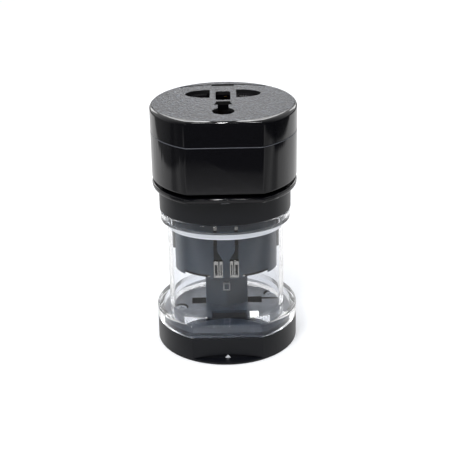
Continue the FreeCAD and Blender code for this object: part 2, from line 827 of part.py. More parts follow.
def keyhole(z0, z1):
    """Keyhole made of a trapezium, a neck and a round hole."""
    trapezium = prism([(-key_top_half, key_top), (key_top_half, key_top),
                       (key_low_half, key_low), (-key_low_half, key_low)], z0, z1)
    neck = box(-neck_half, neck_half, key_round_y, key_top, z0, z1)
    return trapezium.fuse(neck).fuse(cylinder(0, key_round_y, z0, z1, key_round_radius))


def cut_apertures(shape, z0, z1):
    shape = shape.cut(centre_aperture(z0, z1)).cut(keyhole(z0, z1))
    for side in (-1, 1):
        shape = shape.cut(side_aperture(side, z0, z1))
    return shape


def face_outline(grow, z0, z1):
    """Outline of the face plate: round behind and oval in front, where the head is flat."""
    radius = round_radius - face_inset + grow
    front = oval(radius, flat_depth - face_front_inset + grow, z0, z1)
    front = front.common(box(-radius, radius, -flat_depth, 0, z0, z1))
    back = cylinder(0, 0, z0, z1, radius).common(box(-radius, radius, 0, radius, z0, z1))
    return front.fuse(back).removeSplitter()


def top_cover():
    """Upper half of the head with a recess for the face plate."""
    body = rounded_at(flatted(0, cover_bottom, head_top), head_top, cover_round)
    body = body.cut(flatted(wall - fit_gap, cover_bottom, cover_inside))
    body = body.cut(face_outline(0, face_bottom, head_top))
    return cut_apertures(body, cover_inside, face_bottom).removeSplitter()


def face_plate():
    """Textured plate let into the cover, with the rear arc groove."""
    plate = cut_apertures(face_outline(-fit_gap, face_bottom, head_top), face_bottom, head_top)
    z = head_top - arc_depth
    sag = arc_mid_y - arc_end_y
    radius = (arc_end_x * arc_end_x + sag * sag) / (2 * sag)
    arc_centre = arc_mid_y - radius
    ring = cylinder(0, arc_centre, z, head_top, radius + arc_width / 2)
    ring = ring.cut(cylinder(0, arc_centre, z, head_top, radius - arc_width / 2))
    groove = ring.common(box(-arc_end_x, arc_end_x, arc_end_y - arc_width, round_radius, z, head_top))
    block = box(-arc_block_half, arc_block_half, arc_mid_y - arc_block_width, arc_mid_y, z, head_top)
    return plate.cut(groove).cut(block).removeSplitter()


def shutter(side):
    """Shutter leaf that closes a side aperture, with a sloped rear edge."""
    leaf = box(side * shutter_inner, side * shutter_outer, shutter_low, shutter_high,
               shutter_bottom, shutter_top)
    rear = [e for e in leaf.Edges if abs(e.BoundBox.ZMin - shutter_top) < tolerance
            and abs(e.BoundBox.YMin - shutter_high) < tolerance]
    return leaf.makeChamfer(shutter_chamfer, rear)


def shutter_spring(side):
    """Slim coil between the leaf and its stop on the carrier."""
    mean_radius = spring_outer_radius - spring_wire_radius
    length = shutter_low - spring_front - 2 * spring_wire_radius
    helix = Part.makeHelix(length / spring_turns, length, mean_radius)
    profile = Part.Wire(Part.makeCircle(spring_wire_radius, vec(mean_radius, 0, 0), vec(0, 1, 0)))
    coil = helix.makePipeShell([profile], True, True)
    coil.rotate(vec(0, 0, 0), vec(1, 0, 0), -90)
    middle = (shutter_bottom + shutter_top) / 2
    coil.translate(vec(side * spring_x, spring_front + spring_wire_radius, middle))
    return coil


def contact_carrier():
    """Insulating block on four feet, with a pocket under each aperture, a fuse bay and spring stops."""
    body = flatted(wall + seam_lip_wall + carrier_gap, carrier_bottom, carrier_top)
    body = body.cut(box(-middle_pocket_half, middle_pocket_half, middle_pocket_low, middle_pocket_high,
                        pocket_floor, carrier_top))
    for side in (-1, 1):
        for y in (-carrier_foot_y, carrier_foot_y):
            body = body.fuse(cylinder(side * carrier_foot_x, y, housing_floor_top, carrier_bottom,
                                      carrier_foot_radius))
        body = body.cut(box(side * pocket_inner, side * pocket_outer, pocket_low, pocket_high,
                            pocket_floor, carrier_top))
        tail_half = tail_width / 2 + fit_gap
        tail_half_y = leaf_thickness / 2 + fit_gap
        body = body.cut(box(side * contact_x - tail_half, side * contact_x + tail_half,
                            side_slot_y - tail_half_y, side_slot_y + tail_half_y,
                            carrier_bottom, pocket_floor))
        body = body.fuse(box(side * spring_x - spring_outer_radius, side * spring_x + spring_outer_radius,
                             spring_front - spring_stop_thickness, spring_front, carrier_top, shutter_top))
    bay_half = fuse_length / 2 + body_gap
    return body.cut(box(fuse_bay_inner, round_radius, -bay_half, bay_half, carrier_bottom,
                        carrier_top)).removeSplitter()


def side_contact(side):
    """Twin-leaf contact for one flat or round pin, with a tail through the carrier."""
    base_top = pocket_floor + leaf_thickness
    leaf_top = pocket_floor + leaf_height
    x0 = side * contact_inner
    x1 = side * contact_outer
    base = box(x0, x1, contact_front, contact_back, pocket_floor, base_top)
    front = box(x0, x1, contact_front, contact_front + leaf_thickness, base_top, leaf_top)
    back = box(x0, x1, contact_back - leaf_thickness, contact_back, base_top, leaf_top)
    tail_half = leaf_thickness / 2
    tail = box(side * contact_x - tail_width / 2, side * contact_x + tail_width / 2,
               side_slot_y - tail_half, side_slot_y + tail_half, bar_top, pocket_floor)
    return base.fuse(front).fuse(back).fuse(tail).removeSplitter()


def earth_contact():
    """Long twin-leaf contact under the middle apertures."""
    base_top = pocket_floor + leaf_thickness
    outer = earth_leaf_x + leaf_thickness
    body = box(-outer, outer, earth_front, earth_back, pocket_floor, base_top)
    for side in (-1, 1):
        body = body.fuse(box(side * earth_leaf_x, side * outer, earth_front, earth_back,
                             base_top, pocket_floor + leaf_height))
    return body.removeSplitter()


def lying_cylinder(radius, y0, length):
    return Part.makeCylinder(radius, length, vec(fuse_x, y0, fuse_z), vec(0, 1, 0))


def fuse_tube():
    """Glass tube of the fuse, between its caps."""
    length = fuse_length - 2 * fuse_cap_length
    return lying_cylinder(fuse_tube_radius, -length / 2, length)


def fuse_caps():
    """Two metal end caps of the fuse."""
    front = lying_cylinder(fuse_cap_radius, -fuse_length / 2, fuse_cap_length)
    back = lying_cylinder(fuse_cap_radius, fuse_length / 2 - fuse_cap_length, fuse_cap_length)
    return Part.makeCompound([front, back])


def fuse_clips():
    """Two spring cradles with legs down to the bars."""
    outer_radius = fuse_cap_radius + fuse_clip_thickness
    solids = []
    for side in (-1, 1):
        y0 = side * fuse_clip_y - fuse_clip_width / 2
        y1 = y0 + fuse_clip_width
        cradle = lying_cylinder(outer_radius, y0, fuse_clip_width)
        cradle = cradle.cut(lying_cylinder(fuse_cap_radius, y0, fuse_clip_width))
        mouth = box(fuse_x - outer_radius, fuse_x + outer_radius, y0, y1,
                    fuse_z + fuse_clip_mouth, fuse_z + outer_radius)
        leg = box(fuse_x - fuse_clip_thickness / 2, fuse_x + fuse_clip_thickness / 2, y0, y1,
                  bar_top, fuse_z - fuse_cap_radius - fuse_clip_thickness / 2)
        solids.append(cradle.cut(mouth).fuse(leg).removeSplitter())
    return Part.makeCompound(solids)


def bar(x0, y0, x1, y1):
    """Flat strip on the housing floor from one contact to another."""
    length = math.hypot(x1 - x0, y1 - y0)
    half = bar_width / 2
    strip = Part.makeBox(length + bar_width, bar_width, bar_thickness, vec(-half, -half, 0))
    strip.rotate(vec(0, 0, 0), vec(0, 0, 1), math.degrees(math.atan2(y1 - y0, x1 - x0)))
    strip.translate(vec(x0, y0, housing_floor_top))
    return strip


def head_screws():
    head_z = housing_floor_top + head_screw_head_height
    return Part.makeCompound([screw(side * head_screw_x, 0, head_z, head_screw_head_radius,
                                    head_screw_head_height, head_screw_radius, head_screw_length)
                              for side in (-1, 1)])


def bars():
    """The three bars: live in to the fuse, live out of it, and neutral."""
    riser_x = (riser_inner + riser_outer) / 2
    riser_y = (riser_front + carriage_front) / 2
    return {
        "live_bar_in": bar(riser_x, riser_y, fuse_x, -fuse_clip_y),
        "live_bar_out": bar(fuse_x, fuse_clip_y, contact_x, side_slot_y),
        "neutral_bar": bar(-riser_x, riser_y, -contact_x, side_slot_y),
    }


def base_parts():
    return {
        "base_shell": base_shell(),
        "floor_plate": floor_plate(),
        "post": post(),
        "floor_screws": floor_screws(),
        "keeper_strip": keeper_strip(),
        "keeper_rivet": keeper_rivet(),
        "post_screw": post_screw(),
        "rubber_feet": rubber_feet(),
        "base_mark": base_mark(),
    }


def plug_parts():
    return {
        "collar": collar(),
        "index_ring": index_ring(),
        "collar_mark": collar_mark(),
        "plug_shell": plug_shell(),
        "side_tongues": Part.makeCompound([side_tongue(-1), side_tongue(1)]),
        "live_fork": fork(1),
        "neutral_fork": fork(-1),
        "pin_carriage": pin_carriage(),
        "live_pin": pin(1),
        "neutral_pin": pin(-1),
    }


def head_parts():
    parts = {
        "head_housing": head_housing(),
        "top_cover": top_cover(),
        "face_plate": face_plate(),
        "head_screws": head_screws(),
        "shutter_left": shutter(-1),
        "shutter_right": shutter(1),
        "shutter_spring_left": shutter_spring(-1),
        "shutter_spring_right": shutter_spring(1),
        "contact_carrier": contact_carrier(),
        "live_contact": side_contact(1),
        "neutral_contact": side_contact(-1),
        "earth_contact": earth_contact(),
        "fuse_tube": fuse_tube(),
        "fuse_caps": fuse_caps(),
        "fuse_clips": fuse_clips(),
    }
    parts.update(bars())
    return parts


def main():
    os.makedirs("parts", exist_ok=True)
    save("clear_case", clear_case())
    for group in (base_parts(), plug_parts(), head_parts()):
        for name, shape in group.items():
            save(name, shape)


main()
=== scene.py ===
import logging
import math
from dataclasses import dataclass, field
from enum import Enum
from typing import Any, Callable

import bmesh
import bpy
from mathutils import Matrix, Vector


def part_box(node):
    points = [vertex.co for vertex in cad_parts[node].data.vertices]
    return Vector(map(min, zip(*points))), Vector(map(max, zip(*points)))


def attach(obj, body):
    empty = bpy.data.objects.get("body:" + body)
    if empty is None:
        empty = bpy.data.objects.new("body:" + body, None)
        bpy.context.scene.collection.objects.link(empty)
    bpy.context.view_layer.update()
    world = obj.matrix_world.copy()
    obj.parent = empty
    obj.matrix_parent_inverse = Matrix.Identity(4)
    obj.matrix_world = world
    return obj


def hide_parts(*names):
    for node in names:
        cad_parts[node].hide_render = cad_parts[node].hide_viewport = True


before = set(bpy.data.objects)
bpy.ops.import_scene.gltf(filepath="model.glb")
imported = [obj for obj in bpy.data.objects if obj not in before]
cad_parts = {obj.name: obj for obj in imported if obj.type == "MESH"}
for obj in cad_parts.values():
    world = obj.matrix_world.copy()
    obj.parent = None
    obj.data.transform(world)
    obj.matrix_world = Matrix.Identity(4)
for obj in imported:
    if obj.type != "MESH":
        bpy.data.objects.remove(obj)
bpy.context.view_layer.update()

MM = 0.001
log = logging.getLogger("travel_adapter")

ABS_IOR = 1.53
# Outer gloss of the clear plastics.
COAT_ROUGHNESS = 0.03
COAT_IOR = 1.5
# Points closer than this are one point.
CAD_MERGE = 0.0005 * MM
SHELL_MERGE = 0.001 * MM
# A cut snaps to points closer than this.
RIM_SNAP = 0.001 * MM
LOOP_SNAP = 0.0001 * MM
# Sockets of a Mix node for colours.
MIX_SHARE, MIX_LOW, MIX_HIGH, MIX_RESULT = 0, 6, 7, 2

Socket = bpy.types.NodeSocket
NodeTree = bpy.types.NodeTree
Edges = list[bmesh.types.BMEdge]
Pair = tuple[float, float]


def linear(hex_colour: str) -> tuple[float, float, float, float]:
    """Turns an sRGB hex colour into linear light.

    Args:
        hex_colour: Six hex digits with a leading #.

    Returns:
        Red, green, blue and an alpha of 1.
    """
    channels = []
    for start in (1, 3, 5):
        value = int(hex_colour[start:start + 2], 16) / 255
        channels.append(value / 12.92 if value <= 0.04045 else ((value + 0.055) / 1.055) ** 2.4)
    return channels[0], channels[1], channels[2], 1.0


def add_node(tree: NodeTree, kind: str, inputs: dict[str | int, Any] | None = None,
             **settings: Any) -> bpy.types.Node:
    """Adds one node to a tree with its settings and links.

    Args:
        tree: The tree that gets the node.
        kind: The node's class name.
        inputs: Values or output sockets by the name or number of the input they go to.
        **settings: Properties of the node itself.

    Returns:
        The new node.
    """
    node = tree.nodes.new(kind)
    for key, value in settings.items():
        setattr(node, key, value)
    for key, value in (inputs or {}).items():
        if isinstance(value, Socket):
            tree.links.new(value, node.inputs[key])
        else:
            node.inputs[key].default_value = value
    return node


def per_metre(size_mm: float) -> float:
    """Texture scale whose pattern repeats about every size_mm."""
    return 1 / (size_mm * MM)


def object_place(tree: NodeTree) -> Socket:
    """Adds the Object coordinates and returns their socket."""
    return add_node(tree, "ShaderNodeTexCoord").outputs["Object"]


def noise(tree: NodeTree, place: Socket, size_mm: float, detail: float, roughness: float = 0.5,
          distortion: float = 0.0) -> Socket:
    """Adds a noise pattern of a given size that follows a place, and returns its value."""
    return add_node(tree, "ShaderNodeTexNoise",
                    {"Vector": place, "Scale": per_metre(size_mm), "Detail": detail, "Roughness": roughness,
                     "Distortion": distortion}).outputs["Fac"]


def remap(tree: NodeTree, value: Socket, source: Pair, target: Pair = (0.0, 1.0)) -> Socket:
    """Maps a value from the source range to the target range and keeps it there."""
    return add_node(tree, "ShaderNodeMapRange",
                    {"Value": value, "From Min": source[0], "From Max": source[1], "To Min": target[0],
                     "To Max": target[1]}).outputs["Result"]


def mix_colours(tree: NodeTree, share: Socket, low: Any, high: Any) -> Socket:
    """Mixes two colours, each a value or a socket, by a share from low to high."""
    return add_node(tree, "ShaderNodeMix", {MIX_SHARE: share, MIX_LOW: low, MIX_HIGH: high},
                    data_type="RGBA").outputs[MIX_RESULT]


def maths(tree: NodeTree, operation: str, first: Any, second: Any, clamp: bool = False) -> Socket:
    """Works out two values or sockets, kept from 0 to 1 if clamp is set."""
    return add_node(tree, "ShaderNodeMath", {0: first, 1: second}, operation=operation,
                    use_clamp=clamp).outputs[0]


def relief(tree: NodeTree, height: Socket, depth_mm: float, below: Socket | None = None) -> Socket:
    """Adds relief to a surface, on the normal of a broader one if there is one below."""
    inputs: dict[str | int, Any] = {"Height": height, "Strength": 1.0, "Distance": depth_mm * MM}
    if below is not None:
        inputs["Normal"] = below
    return add_node(tree, "ShaderNodeBump", inputs).outputs["Normal"]


def grey_ramp(tree: NodeTree, place: Socket, stops: tuple[Pair, ...]) -> Socket:
    """Adds a ramp of linear grey levels at their positions, and returns its colour."""
    ramp = add_node(tree, "ShaderNodeValToRGB", {"Fac": place})
    elements = ramp.color_ramp.elements
    while len(elements) < len(stops):
        elements.new(0.5)
    for element, (position, level) in zip(elements, stops):
        element.position = position
        element.color = (level, level, level, 1)
    return ramp.outputs["Color"]


def new_material(name: str) -> tuple[bpy.types.Material, NodeTree]:
    """Makes an empty node material.

    Args:
        name: The material's name.

    Returns:
        The material and its cleared node tree.
    """
    material = bpy.data.materials.new(name)
    material.use_nodes = True
    material.node_tree.nodes.clear()
    return material, material.node_tree


def add_surface(tree: NodeTree, inputs: dict[str | int, Any]) -> None:
    """Adds the Principled shader with these inputs, and the material's output."""
    shader = add_node(tree, "ShaderNodeBsdfPrincipled", inputs)
    add_node(tree, "ShaderNodeOutputMaterial", {"Surface": shader.outputs["BSDF"]})


@dataclass(frozen=True)
class MouldedPlastic:
    """Injection-moulded ABS, nylon, rubber or opaque polycarbonate in one solid colour.

    The tool leaves a faint ripple on it, and handling leaves patches that are a little duller.

    Attributes:
        name: The material's name.
        colour: sRGB colour of the plastic.
        roughness: Mean roughness of the surface.
        haze: How much the roughness varies over the surface.
        grain_mm: Size of the surface grain.
        grain_depth_mm: Height of that grain.
        ripple_mm: Length of the mould's ripple.
        ripple_depth_mm: Height of that ripple.
        smudge_size: Size of the duller patches, in lengths of the ripple.
        smudge_range: Values of their pattern between which the roughness rises.
        tint: Share by which the colour varies.
        ior: Refractive index.
    """

    name: str
    colour: str
    roughness: float
    haze: float = 0.05
    grain_mm: float = 0.3
    grain_depth_mm: float = 0.0
    ripple_mm: float = 9.0
    ripple_depth_mm: float = 0.0
    smudge_size: float = 1.7
    smudge_range: Pair = (0.3, 0.7)
    tint: float = 0.12
    ior: float = ABS_IOR

    def build(self) -> bpy.types.Material:
        """Builds the node material."""
        material, tree = new_material(self.name)
        place = object_place(tree)
        ripple = noise(tree, place, self.ripple_mm, detail=2.0)
        grain = noise(tree, place, self.grain_mm, detail=3.0, roughness=0.6)
        smudge = noise(tree, place, self.ripple_mm * self.smudge_size, detail=5.0, roughness=0.62,
                       distortion=0.6)
        base = linear(self.colour)
        darker, lighter = (tuple(channel * (1 + tint) for channel in base[:3]) + (1.0,)
                           for tint in (-self.tint, self.tint))
        rough_range = (self.roughness - self.haze, self.roughness + self.haze)
        waves = relief(tree, ripple, self.ripple_depth_mm)
        add_surface(tree, {"Base Color": mix_colours(tree, grain, darker, lighter),
                           "Roughness": remap(tree, smudge, self.smudge_range, rough_range),
                           "IOR": self.ior,
                           "Normal": relief(tree, grain, self.grain_depth_mm, waves)})
        return material


@dataclass(frozen=True)
class SparkErodedPlastic:
    """Black ABS moulded against a spark-eroded tool: rounded pits painted darker as shade, with small tops
    painted bright as highlights.

    Attributes:
        name: The material's name.
        pit_shade_colour: sRGB colour down in the pits, a painted shade.
        top_highlight_colour: sRGB colour of the tops, a painted highlight.
        grain_mm: Spacing of the pits, a little coarser than real so that it shows.
        depth_mm: Depth of the pits.
        roughness: Roughness of the surface between them.
        clump_size: Size of the clumps that the pits form, in spacings.
        top_range: Heights between which the colour goes from pit to top.
    """

    name: str
    pit_shade_colour: str
    top_highlight_colour: str
    grain_mm: float
    depth_mm: float
    roughness: float
    clump_size: float = 2.2
    top_range: Pair = (0.8, 1.2)

    def build(self) -> bpy.types.Material:
        """Builds the node material."""
        material, tree = new_material(self.name)
        place = object_place(tree)
        pits = add_node(tree, "ShaderNodeTexVoronoi", {"Vector": place, "Scale": per_metre(self.grain_mm),
                                                       "Randomness": 1.0}, feature="SMOOTH_F1")
        clumps = noise(tree, place, self.grain_mm * self.clump_size, detail=4.0, roughness=0.7)
        height = maths(tree, "ADD", pits.outputs["Distance"], clumps)
        tops = remap(tree, height, self.top_range)
        # The pits' colour is painted shade and the tops' colour a painted highlight.
        colour = mix_colours(tree, tops, linear(self.pit_shade_colour), linear(self.top_highlight_colour))
        add_surface(tree, {"Base Color": colour, "Roughness": self.roughness, "IOR": ABS_IOR,
                           "Normal": relief(tree, height, self.depth_mm)})
        return material


@dataclass(frozen=True)
class ClearPolycarbonate:
    """Clear polycarbonate or glass with a faint cool tint, a polish and a little wear.

    Attributes:
        name: The material's name.
        colour: sRGB tint of light that has passed through.
        roughness: Roughness of the polish.
        ior: Refractive index, matched to how little the thin walls bend the view.
        clearness: Share of the light that passes, under 1 where the surface is frosted and painted white as
            a highlight.
        flow_mm: Length of the waves that the melt has left.
        flow_depth_mm: Height of those waves.
        wear_mm: Size of the worn patches.
        wear_range: Values of their pattern between which the polish is lost.
        worn: How many times rougher the worn patches are.
    """

    name: str
    colour: str
    roughness: float
    ior: float
    clearness: float = 1.0
    flow_mm: float = 14.0
    flow_depth_mm: float = 0.02
    wear_mm: float = 2.0
    wear_range: Pair = (0.45, 0.75)
    worn: float = 2.5

    def build(self) -> bpy.types.Material:
        """Builds the node material."""
        material, tree = new_material(self.name)
        place = object_place(tree)
        flow = noise(tree, place, self.flow_mm, detail=2.0)
        wear = noise(tree, place, self.wear_mm, detail=6.0)
        rough = remap(tree, wear, self.wear_range, (self.roughness, self.roughness * self.worn))
        add_surface(tree, {"Base Color": linear(self.colour), "Roughness": rough, "IOR": self.ior,
                           "Transmission Weight": self.clearness, "Coat Weight": 1.0,
                           "Coat Roughness": COAT_ROUGHNESS, "Coat IOR": COAT_IOR,
                           "Normal": relief(tree, flow, self.flow_depth_mm)})
        return material


@dataclass(frozen=True)
class WorkedMetal:
    """Stamped, turned or drawn metal with fine lines along one axis.

    Attributes:
        name: The material's name.
        colour: sRGB colour of the metal.
        roughness: Mean roughness.
        line_mm: Spacing of the tool lines, drawn coarser than real where they would be too fine.
        line_depth_mm: Depth of those lines.
        tarnish: sRGB colour of the dull patches.
        stretch: How far the lines are drawn out along each axis.
        line_contrast: Share by which the roughness varies over the lines.
        patch_mm: Size of the dull patches.
        patch_range: Values of their pattern between which the tarnish comes in.
        patch_share: How far it comes in.
    """

    name: str
    colour: str
    roughness: float
    line_mm: float
    line_depth_mm: float
    tarnish: str
    stretch: tuple[float, float, float] = (0.08, 1.0, 1.0)
    line_contrast: float = 0.25
    patch_mm: float = 3.0
    patch_range: Pair = (0.5, 0.8)
    patch_share: float = 0.6

    def build(self) -> bpy.types.Material:
        """Builds the node material."""
        material, tree = new_material(self.name)
        place = object_place(tree)
        drawn = add_node(tree, "ShaderNodeMapping", {"Vector": place, "Scale": self.stretch})
        lines = noise(tree, drawn.outputs["Vector"], self.line_mm, detail=3.0)
        dull = noise(tree, place, self.patch_mm, detail=4.0)
        patches = remap(tree, dull, self.patch_range, (0.0, self.patch_share))
        colour = mix_colours(tree, patches, linear(self.colour), linear(self.tarnish))
        rough_range = (self.roughness * (1 - self.line_contrast), self.roughness * (1 + self.line_contrast))
        add_surface(tree, {"Base Color": colour, "Metallic": 1.0,
                           "Roughness": remap(tree, lines, (0.0, 1.0), rough_range),
                           "Normal": relief(tree, lines, self.line_depth_mm)})
        return material


class Material(Enum):
    """Every finish on the adapter, by what it is in the real object, and the painted shade and highlights.
    """

    # Polished ABS: nearly black, with sharp reflections that ripple a little.
    GLOSS_ABS = MouldedPlastic("gloss_black_abs", "#07070a", roughness=0.06, haze=0.025, grain_mm=0.6,
                               grain_depth_mm=0.0003, ripple_depth_mm=0.02)
    # Black ABS painted pale on the seam's chamfer: a painted highlight for the light line along the seam.
    SEAM_HIGHLIGHT_ABS = MouldedPlastic("seam_painted_highlight_abs", "#505258", roughness=0.35, grain_mm=0.5,
                                grain_depth_mm=0.004)
    # Fine-textured ABS: broad, soft highlights and no clear reflection.
    SATIN_ABS = MouldedPlastic("satin_black_abs", "#0d0f15", roughness=0.38, grain_mm=0.28,
                               grain_depth_mm=0.006)
    # Spark-eroded ABS on the socket face: a painted sparkle of bright tops and shaded pits, drawn coarser
    # than real so that it shows.
    FACE_ABS = SparkErodedPlastic("spark_eroded_abs", "#15161a", "#4a4f59", grain_mm=0.7, depth_mm=0.5,
                                  roughness=0.4)
    # Glass-filled nylon inside the head and the sockets: matt and nearly black. The same near-black is also
    # painted as shade on faces down in the slots, wells, tracks and apertures of other pieces.
    NYLON_AND_RECESS_SHADE = MouldedPlastic("nylon_and_painted_recess_shade", "#08080a", roughness=0.55, grain_mm=0.2,
                                 grain_depth_mm=0.01)
    # Slate polycarbonate of the plug body and post: satin, cool grey.
    SLATE_PC = MouldedPlastic("slate_polycarbonate", "#515f6f", roughness=0.38, grain_mm=0.3,
                              grain_depth_mm=0.004)
    # Grey polycarbonate of the floor plate: a shade lighter, with darker flow marks.
    FLOOR_PC = MouldedPlastic("grey_polycarbonate", "#5a6271", roughness=0.4, haze=0.1, grain_mm=3.2,
                              grain_depth_mm=0.05, tint=0.45)
    # Clear polycarbonate of the case: bright edges, almost no colour.
    CLEAR_PC = ClearPolycarbonate("clear_polycarbonate", "#fbfcfe", roughness=0.012, ior=1.2)
    # The same plastic frosted on the step and made mostly white, not clear: a painted highlight for the
    # bright band that the step reflects.
    STEP_HIGHLIGHT_PC = ClearPolycarbonate("frosted_pc_painted_highlight", "#f2f5fa", roughness=0.4, ior=1.3,
                                    clearness=0.3)
    # Glass tube of the fuse.
    FUSE_GLASS = ClearPolycarbonate("fuse_tube_glass", "#f2f7f4", roughness=0.01, ior=1.47)
    # Nickel on brass strip: pale, slightly warm, satin.
    NICKEL = WorkedMetal("nickel_plate", "#e9e8e4", roughness=0.24, line_mm=0.25, line_depth_mm=0.002,
                         tarnish="#c8c5bd")
    # The same plating, painted dark as shade on the forks' faces down in the slots.
    SHADED_NICKEL = WorkedMetal("nickel_painted_shade", "#3a3d42", roughness=0.5, line_mm=0.25,
                              line_depth_mm=0.002, tarnish="#222427")
    # Zinc-plated steel screws: cool, with turned rings worn in.
    ZINC_STEEL = WorkedMetal("zinc_plated_steel", "#7d8187", roughness=0.3, line_mm=0.2,
                             line_depth_mm=0.004, tarnish="#5d6167")
    # Stamped brass contacts: warm yellow with duller patches.
    BRASS = WorkedMetal("stamped_brass", "#d9b36a", roughness=0.3, line_mm=0.25, line_depth_mm=0.003,
                        tarnish="#8f6f3c")
    # Drawn spring wire: bright steel with lines along it.
    SPRING_WIRE = WorkedMetal("drawn_spring_wire", "#b9bcc0", roughness=0.28, line_mm=0.12,
                              line_depth_mm=0.002, tarnish="#8b8e93")
    # Moulded rubber of the feet: dull, with a fine grain.
    FOOT_RUBBER = MouldedPlastic("moulded_rubber", "#17171a", roughness=0.72, grain_mm=0.5,
                                 grain_depth_mm=0.02, tint=0.2)
    # White ABS of the small tile on the post and of the marks.
    WHITE_ABS = MouldedPlastic("white_abs", "#eceef1", roughness=0.35, grain_mm=0.3,
                               grain_depth_mm=0.002, tint=0.03)


# Finish and width of the edge rounding in millimetres, by CAD node.
Looks = dict[str, tuple[Material, float]]

_built: dict[Material, bpy.types.Material] = {}


def material_of(finish: Material) -> bpy.types.Material:
    """Returns the finish's material, building it the first time."""
    if finish not in _built:
        _built[finish] = finish.value.build()
    return _built[finish]


def paint_node(node: str, finish: Material) -> None:
    """Gives a CAD node that stays as it is its finish.

    Args:
        node: The CAD node's name.
        finish: The finish it gets.
    """
    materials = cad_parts[node].data.materials
    materials.clear()
    materials.append(material_of(finish))
    log.info("%s: CAD shape, %s", node, finish.value.name)


def shade(mesh: bpy.types.Mesh, sharp_degrees: float = 30.0) -> None:
    """Shades a mesh smooth, with edges over an angle left sharp."""
    mesh.shade_smooth()
    mesh.set_sharp_from_angle(angle=math.radians(sharp_degrees))


def add_edge_round(piece: bpy.types.Object, width_mm: float, segments: int = 2,
                   sharp_degrees: float = 40.0) -> None:
    """Rounds a piece's sharp edges a little, as a mould does.

    Args:
        piece: The object to finish.
        width_mm: Width of the rounding.
        segments: Faces across the rounding.
        sharp_degrees: Edges over this angle are rounded.
    """
    bevel = piece.modifiers.new("edge_round", "BEVEL")
    bevel.width = width_mm * MM
    bevel.segments = segments
    bevel.limit_method = "ANGLE"
    bevel.angle_limit = math.radians(sharp_degrees)
    bevel.use_clamp_overlap = True
    bevel.miter_outer = "MITER_ARC"


def keep_flats_flat(piece: bpy.types.Object, weight: int = 80) -> None:
    """Lets large faces lead the shading by a weight, after any rounding."""
    flatter = piece.modifiers.new("flat_faces", "WEIGHTED_NORMAL")
    flatter.keep_sharp = True
    flatter.weight = weight


def finish_piece(piece: bpy.types.Object, body: str, *nodes: str) -> bpy.types.Object:
    """Lets a piece ride on its body and stand for its CAD nodes.

    Args:
        piece: The finished object at the origin, with its materials.
        body: The body that it moves with.
        *nodes: The CAD nodes that it replaces.

    Returns:
        The same object.
    """
    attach(piece, body)
    if nodes:
        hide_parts(*nodes)
    log.info("%s: rides on %s, %s", piece.name, body, piece.data.materials[0].name)
    return piece


def object_from(bm: bmesh.types.BMesh, name: str, *finishes: Material) -> bpy.types.Object:
    """Turns a bmesh into an object in the scene.

    Args:
        bm: The finished bmesh, which is freed.
        name: The object's name.
        *finishes: Its finishes, in the order of the faces' material numbers.

    Returns:
        The new object, at the origin.
    """
    mesh = bpy.data.meshes.new(name)
    bm.to_mesh(mesh)
    bm.free()
    for finish in finishes:
        mesh.materials.append(material_of(finish))
    piece = bpy.data.objects.new(name, mesh)
    bpy.context.scene.collection.objects.link(piece)
    return piece


@dataclass(frozen=True)
class RimChamfer:
    """A narrow chamfer round the upper outer edge of a round wall with a flat in front.

    Attributes:
        top: Height of that edge.
        reach: Points of the wall further than this from the axis are on its outside.
        flat: So are those this far in front of it, on the flat.
        width: Width of the chamfer.
    """

    top: float
    reach: float
    flat: float
    width: float

    def cut(self, bm: bmesh.types.BMesh) -> None:
        """Cuts the chamfer into a merged bmesh."""
        bmesh.ops.bisect_plane(bm, geom=bm.verts[:] + bm.edges[:] + bm.faces[:], dist=RIM_SNAP,
                               plane_co=(0, 0, self.top - self.width), plane_no=(0, 0, 1))
        rim = [vert for vert in bm.verts if abs(vert.co.z - self.top) < self.width / 2
               and (vert.co.xy.length > self.reach or vert.co.y < -self.flat)]
        share = 1 - self.width / max(vert.co.xy.length for vert in rim)
        bmesh.ops.scale(bm, verts=rim, vec=(share, share, 1))


@dataclass(frozen=True)
class PaintedLight:
    """A second finish painted on some faces of a piece, as shade in its slots and pockets and as a
    highlight on an edge.

    Attributes:
        finish: The finish that they get.
        holds: Tells by a face's middle and normal, in metres, whether it is one of them.
    """

    finish: Material
    holds: Callable[[Vector, Vector], bool]


def smooth_copy(node: str, body: str, finish: Material, edge_mm: float = 0.0,
                chamfer: RimChamfer | None = None, inside: PaintedLight | None = None) -> bpy.types.Object:
    """Replaces a CAD node by a merged, smoothly shaded copy with softly rounded edges.

    Args:
        node: The CAD node's name.
        body: The body that it rides on.
        finish: Its finish.
        edge_mm: Width of the rounding on all its sharp edges.
        chamfer: The chamfer round its upper outer edge.
        inside: The painted shade of its slots and pockets, and any painted highlight on an edge.

    Returns:
        The new piece.
    """
    bm = bmesh.new()
    bm.from_mesh(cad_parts[node].data)
    bmesh.ops.remove_doubles(bm, verts=bm.verts, dist=CAD_MERGE)
    if chamfer:
        chamfer.cut(bm)
    bm.normal_update()
    for face in bm.faces:
        face.material_index = int(bool(inside and inside.holds(face.calc_center_median(), face.normal)))
    finishes = (finish, inside.finish) if inside else (finish,)
    piece = object_from(bm, node + "_finished", *finishes)
    shade(piece.data)
    if edge_mm:
        add_edge_round(piece, edge_mm)
    keep_flats_flat(piece)
    return finish_piece(piece, body, node)


def smooth_copies(looks: Looks, body: str, painted_lights: dict[str, PaintedLight] | None = None) -> None:
    """Replaces several CAD nodes that ride on one body.

    Args:
        looks: Their finishes and edge roundings.
        body: The body.
        painted_lights: Painted shade and highlights, by node, for those that have them.
    """
    for node, (finish, edge_mm) in looks.items():
        smooth_copy(node, body, finish, edge_mm, inside=(painted_lights or {}).get(node))


def top_of(node: str) -> float:
    """Highest z of a CAD node, in metres."""
    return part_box(node)[1].z


def bottom_of(node: str) -> float:
    """Lowest z of a CAD node, in metres."""
    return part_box(node)[0].z


